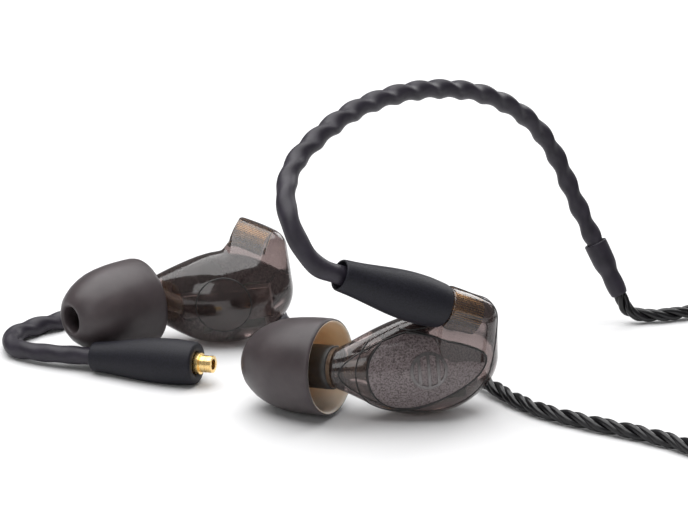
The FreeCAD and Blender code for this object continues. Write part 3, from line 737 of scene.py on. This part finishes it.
def add_ring(builder, origin, axis, outer, inner, start, end):
    """Adds a short tube about an axis, in millimetres along it; inner may be zero."""
    across = axis.orthogonal().normalized()
    aside = axis.cross(across)
    rings = []
    for radius, height in ((inner, start), (outer, start), (outer, end), (inner, end)):
        ring = []
        for step in range(RING_SIDES):
            angle = TAU * step / RING_SIDES
            out = across * math.cos(angle) + aside * math.sin(angle)
            ring.append(builder.verts.new(origin + (axis * height + out * radius) * MM))
        rings.append(ring)
    for low, high in zip(rings, rings[1:] + rings[:1]):
        for step in range(RING_SIDES):
            following = (step + 1) % RING_SIDES
            builder.faces.new((low[step], low[following], high[following], high[step]))
    corners = [vertex for ring in rings for vertex in ring]
    bmesh.ops.remove_doubles(builder, verts=corners, dist=SAME_POINT)


def modify(piece, kind, **settings):
    """Adds a modifier to a piece and applies it."""
    modifier = piece.modifiers.new(kind.lower(), kind)
    for key, value in settings.items():
        setattr(modifier, key, value)
    graph = bpy.context.evaluated_depsgraph_get()
    mesh = bpy.data.meshes.new_from_object(piece.evaluated_get(graph))
    piece.modifiers.clear()
    piece.data = mesh


def shell_skin(side, spots):
    """The clear skin of one shell."""
    forward = spots["forward"]
    neck = place(*spots["neck"])
    nozzle = spots["nozzle"].normalized()
    points = []
    for part in ("_shell_body", "_shell_cover"):
        points += surface_samples(frame["nodes"][side + part])
    points = [p for p in points if (p - neck).dot(nozzle) < STEM_MARGIN]
    reach = sorted(p.dot(forward) for p in points)
    low, high = reach[0], reach[-1]
    builder = bmesh.new()
    count = math.ceil((high - low) / SLICE)
    for index in range(count):
        start = low + (high - low) * index / count - SLICE_OVERLAP * SLICE
        end = low + (high - low) * (index + 1) / count + SLICE_OVERLAP * SLICE
        slab = [p for p in points if start <= p.dot(forward) <= end]
        if len(slab) > LEAST_SLICE_POINTS:
            add_hull(builder, slab)
    add_ring(builder, neck, nozzle, STEM_RADIUS, STEM_BORE, -OVERRUN, STEM_LENGTH)
    piece = finish_mesh(side + "_shell_skin", builder, "smoke_shell", side + "_monitor")
    modify(piece, "REMESH", mode="VOXEL", voxel_size=SKIN_VOXEL, use_smooth_shade=True)
    modify(piece, "SMOOTH", factor=SKIN_SMOOTHING_FACTOR, iterations=SKIN_SMOOTHING)
    cutter_builder = bmesh.new()
    add_ring(
        cutter_builder, place(*spots["socket_face"]), spots["socket_axis"].normalized(),
        BARREL_RADIUS, 0.0, -BARREL_LENGTH, OVERRUN,
    )
    bmesh.ops.recalc_face_normals(cutter_builder, faces=cutter_builder.faces)
    cutter_mesh = bpy.data.meshes.new("cutter")
    cutter_builder.to_mesh(cutter_mesh)
    cutter_builder.free()
    cutter = bpy.data.objects.new("cutter", cutter_mesh)
    bpy.context.collection.objects.link(cutter)
    modify(piece, "BOOLEAN", operation="DIFFERENCE", object=cutter, solver="EXACT")
    bpy.data.objects.remove(cutter)
    for polygon in piece.data.polygons:
        polygon.use_smooth = True
    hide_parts(side + "_shell_body", side + "_shell_cover")
    return piece


# ---- Thin dark lines on the shells: their seams, the faceplates' rims and the badges' rings ----
THIN_LINE_STEP = 0.3 * MM
THIN_LINE_SIDES = 8
SEAM_RADIUS = 0.10 * MM
RIM_RADIUS = 0.13 * MM
SHARP_EDGE = math.radians(40)
LEAST_RIM_POINTS = 20
EDGE_SCALE = 1.09
PROBE_REACH = 10.0 * MM
SAME_CORNER = 0.001 * MM


def thin_line(name, loop, radius, side):
    """A thin dark line along a closed loop of points."""
    line = even(loop + [loop[0], loop[1]], THIN_LINE_STEP)
    builder = bmesh.new()

    def section(distance, angle):
        return radius * math.cos(angle), radius * math.sin(angle)

    tube_into(builder, line, frames_along(line), THIN_LINE_SIDES, section)
    finish_mesh(name, builder, "tip_core", side + "_monitor")


def joined_loops(edges, vertices):
    """The loops that some edges make, as lists of points."""
    beside = {}
    for first, second in edges:
        beside.setdefault(first, []).append(second)
        beside.setdefault(second, []).append(first)
    loops = []
    seen = set()
    for start in beside:
        if start in seen:
            continue
        loop = []
        here = start
        while here is not None:
            seen.add(here)
            loop.append(vertices[here].copy())
            here = next((other for other in beside[here] if other not in seen), None)
        loops.append(loop)
    return loops


def seam_line(side, spots, skin):
    """The glued seam between body and cover, where its plane cuts the skin."""
    builder = bmesh.new()
    builder.from_mesh(skin.data)
    cut = bmesh.ops.bisect_plane(
        builder, geom=builder.verts[:] + builder.edges[:] + builder.faces[:],
        plane_co=place(*spots["seam"]), plane_no=spots["outward"],
    )
    edges = [item for item in cut["geom_cut"] if isinstance(item, bmesh.types.BMEdge)]
    builder.verts.index_update()
    pairs = [(edge.verts[0].index, edge.verts[1].index) for edge in edges]
    points = {vertex.index: vertex.co for edge in edges for vertex in edge.verts}
    loop = max(joined_loops(pairs, points), key=len)
    builder.free()
    thin_line(side + "_shell_seam", loop, SEAM_RADIUS, side)


skins = {side: shell_skin(side, spots) for side, spots in PLACES.items()}
for side, spots in PLACES.items():
    seam_line(side, spots, skins[side])


def edge_loops(mesh):
    """The loops of a mesh's sharp edges, as lists of points."""
    builder = bmesh.new()
    builder.from_mesh(mesh)
    bmesh.ops.remove_doubles(builder, verts=builder.verts, dist=SAME_CORNER)
    builder.verts.index_update()
    pairs = [
        (edge.verts[0].index, edge.verts[1].index) for edge in builder.edges
        if len(edge.link_faces) == 2 and edge.calc_face_angle() > SHARP_EDGE
    ]
    points = {vertex.index: vertex.co.copy() for vertex in builder.verts}
    builder.free()
    return joined_loops(pairs, points)


def outermost_loop(node, outward):
    """The loop of a node's sharp edges that lies furthest out."""
    loops = [loop for loop in edge_loops(node.data) if len(loop) > LEAST_RIM_POINTS]
    return max(loops, key=lambda loop: sum(p.dot(outward) for p in loop) / len(loop))


def on_skin(loop, skin, outward):
    """A loop dropped on to a skin from outside, against the outward direction."""
    points = []
    for point in loop:
        hit, landing, _, _ = skin.ray_cast(point + outward * PROBE_REACH, -outward)
        points.append(landing if hit else point)
    return points


def faceplate_lines(side, spots, skin):
    """The dark line around one faceplate, and the cover's raised edge around that."""
    outward = spots["outward"].normalized()
    rim = outermost_loop(frame["nodes"][side + "_faceplate"], outward)
    thin_line(side + "_faceplate_rim", rim, RIM_RADIUS, side)
    far_end = min(rim, key=lambda p: p.dot(spots["forward"]))
    edge = [far_end + (p - far_end) * EDGE_SCALE for p in rim]
    thin_line(side + "_cover_edge", on_skin(edge, skin, outward), SEAM_RADIUS, side)


def badge_line(side, spots, skin):
    """The ring around the raised disc on the ear side."""
    inward = -spots["outward"].normalized()
    rim = outermost_loop(frame["nodes"][side + "_inner_badge"], inward)
    thin_line(side + "_badge_rim", on_skin(rim, skin, inward), SEAM_RADIUS, side)


for side, spots in PLACES.items():
    faceplate_lines(side, spots, skins[side])
    badge_line(side, spots, skins[side])


# ---- Twisted pairs ----

def twisted_pair(side, loop_route, leads, route):
    """One twisted pair from its collar to the split."""
    line = centreline(pair_points(loop_route, leads, route))
    name = side + "_pair_strands"
    piece = strands(
        name, line, PAIR_PHASES, PAIR_STRAND, PAIR_LAY, PAIR_PITCH, STRAND_STEP, STRAND_SIDES
    )
    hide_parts(side + "_twisted_pair")
    end = Vector(loop_route[-1])
    onward = (end - Vector(loop_route[-2])).normalized()


twisted_pair(
    "left", LEFT_LOOP_ROUTE, LEFT_PAIR_LEADS, LEFT_PAIR_ROUTE,
)
twisted_pair(
    "right", RIGHT_LOOP_ROUTE, RIGHT_PAIR_LEADS, RIGHT_PAIR_ROUTE,
)


# ---- Main cable: to the coil, eight flat turns in two layers, and the plug's tail ----
COIL_CENTRE = (84.5, -7.0)
COIL_LOW_Z = 1.8
COIL_HIGH_Z = 4.5
COIL_OUTER = 21.0
COIL_TURN_GAP = 2.7
COIL_TURNS = 4
TURN_STEPS = 16


def coil_points():
    """Clockwise turns: inward along the bottom, up a layer in a quarter turn, outward along the top."""
    points = []
    inner = COIL_OUTER - COIL_TURN_GAP * COIL_TURNS
    rise_steps = TURN_STEPS // 4
    half = COIL_TURNS * TURN_STEPS
    total = 2 * half + rise_steps
    for step in range(total + 1):
        if step <= half:
            radius = COIL_OUTER - COIL_TURN_GAP * step / TURN_STEPS
            height = COIL_LOW_Z
        elif step < half + rise_steps:
            radius = inner
            height = COIL_LOW_Z + (COIL_HIGH_Z - COIL_LOW_Z) * (step - half) / rise_steps
        else:
            radius = inner + COIL_TURN_GAP * (step - half - rise_steps) / TURN_STEPS
            height = COIL_HIGH_Z
        turn = -TAU * step / TURN_STEPS
        x = COIL_CENTRE[0] + radius * math.cos(turn)
        y = COIL_CENTRE[1] + radius * math.sin(turn)
        points.append(place(x, y, height))
    return points


main_points = [place(*p) for p in MAIN_ROUTE] + coil_points() + [place(*p) for p in TAIL_ROUTE]
main_line = centreline(main_points)
main_cable = strands(
    "main_cable_strands", main_line, MAIN_PHASES, MAIN_STRAND, MAIN_LAY, MAIN_PITCH,
    MAIN_STRAND_STEP, MAIN_STRAND_SIDES,
)
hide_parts("main_cable", "cable_coil", "plug_tail")


# ---- Moulded split and slider: a station is a distance, a half width and a half height in mm ----
SPLIT_START = place(76.0, 26.0, 2.2)
SPLIT_STATIONS = [
    (0.0, 3.2, 1.75), (0.15, 3.5, 2.0), (0.45, 3.68, 2.16), (0.9, 3.7, 2.2), (4.8, 3.7, 2.2),
    (6.6, 3.4, 2.15), (8.4, 2.85, 2.05), (10.2, 2.3, 1.95), (11.3, 2.05, 1.9), (11.75, 1.9, 1.8),
    (12.0, 1.6, 1.55),
]
SLIDER_START = place(67.5, 26.0, 2.2)
SLIDER_STATIONS = [
    (0.0, 3.2, 1.75), (0.15, 3.5, 2.0), (0.45, 3.68, 2.16), (0.9, 3.7, 2.2), (7.1, 3.7, 2.2),
    (7.55, 3.68, 2.16), (7.85, 3.5, 2.0), (8.0, 3.2, 1.75),
]
SLOT_STEPS = 40


def slot_piece(name, start, stations, body, slot):
    """A slot-shaped piece along +X; stations give its distance, half width and half height."""
    builder = bmesh.new()
    rings = []
    for distance, half_width, half_height in stations:
        ring = []
        for step in range(SLOT_STEPS):
            angle = TAU * step / SLOT_STEPS
            y = half_height * math.cos(angle)
            y += math.copysign(half_width - half_height, math.cos(angle))
            z = half_height * math.sin(angle)
            ring.append(builder.verts.new(start + Vector((distance, y, z)) * MM))
        rings.append(ring)
    for low, high in zip(rings, rings[1:]):
        for step in range(SLOT_STEPS):
            following = (step + 1) % SLOT_STEPS
            builder.faces.new((low[step], low[following], high[following], high[step]))
    builder.faces.new(rings[0])
    builder.faces.new(rings[-1])
    piece = finish_mesh(name + "_moulding", builder, slot, body)
    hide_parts(name)


slot_piece("y_split", SPLIT_START, SPLIT_STATIONS, "cable", "boot_rubber")
slot_piece("chin_slider", SLIDER_START, SLIDER_STATIONS, "chin_slider", "boot_rubber")


# ---- The coil's strap ----
STRAP_THICKNESS = 0.38 * MM
STRAP_CORNER = 1.9 * MM
STRAP_EDGE = 0.1 * MM
STRAP_CORNER_STEPS = 10


def coil_strap():
    """The strap around the coil, filling the CAD tie's box."""
    corners = [v.co for v in frame["nodes"]["coil_tie"].data.vertices]
    low = Vector(min(c[axis] for c in corners) for axis in range(3))
    high = Vector(max(c[axis] for c in corners) for axis in range(3))
    edge = STRAP_EDGE
    half = STRAP_THICKNESS / 2
    profile = [
        (low.x, edge - half), (low.x + edge, -half), (high.x - edge, -half), (high.x, edge - half),
        (high.x, half - edge), (high.x - edge, half), (low.x + edge, half), (low.x, half - edge),
    ]
    inset = STRAP_CORNER + half
    centres = [
        (high.y - inset, high.z - inset), (low.y + inset, high.z - inset),
        (low.y + inset, low.z + inset), (high.y - inset, low.z + inset),
    ]
    builder = bmesh.new()
    rings = []
    for quarter, (y, z) in enumerate(centres):
        for step in range(STRAP_CORNER_STEPS + 1):
            angle = TAU / 4 * (quarter + step / STRAP_CORNER_STEPS)
            ring = []
            for x, out in profile:
                reach = STRAP_CORNER + out
                corner = (x, y + reach * math.cos(angle), z + reach * math.sin(angle))
                ring.append(builder.verts.new(corner))
            rings.append(ring)
    for index, ring in enumerate(rings):
        onward = rings[(index + 1) % len(rings)]
        for step in range(len(profile)):
            following = (step + 1) % len(profile)
            builder.faces.new((ring[step], ring[following], onward[following], onward[step]))
    piece = finish_mesh("coil_strap", builder, "tie_strap", "cable")
    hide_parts("coil_tie")


coil_strap()


# ---- The plug's ribbed relief and its housing ----
RELIEF_OUTLINE = [
    (1.00, 0.0), (1.55, 0.0), (1.72, 0.2), (1.78, 0.9), (1.50, 1.1), (1.50, 1.5), (1.84, 1.7),
    (1.90, 2.5), (1.60, 2.7), (1.60, 3.1), (1.95, 3.3), (2.01, 4.1), (1.70, 4.3), (1.70, 4.7),
    (2.07, 4.9), (2.12, 5.7), (1.80, 5.9), (1.80, 6.3), (2.18, 6.5), (2.28, 8.0), (1.00, 8.0),
]
HOUSING_OUTLINE = [
    (1.00, 8.0), (2.30, 8.0), (2.50, 8.1), (3.08, 8.95), (3.24, 9.3), (3.25, 11.0), (3.10, 11.15),
    (3.10, 11.5), (3.25, 11.65), (3.25, 20.4), (3.12, 20.5), (3.12, 20.8), (3.25, 20.9),
    (3.25, 22.2), (3.12, 22.55), (2.75, 22.9), (2.50, 23.0), (1.00, 23.0),
]
plug_start = Vector(TAIL_ROUTE[-1])
plug_onward = (plug_start - Vector(TAIL_ROUTE[-2])).normalized()
for node, outline in (("jack_strain_relief", RELIEF_OUTLINE), ("jack_housing", HOUSING_OUTLINE)):
    lathe(
        node + "_cover", rounded(outline, 1), place(*plug_start), plug_onward, "boot_rubber",
        node, "cable",
    )


# ---- The main cable's first point, worked out and left unused ----
place(*MAIN_ROUTE[0])
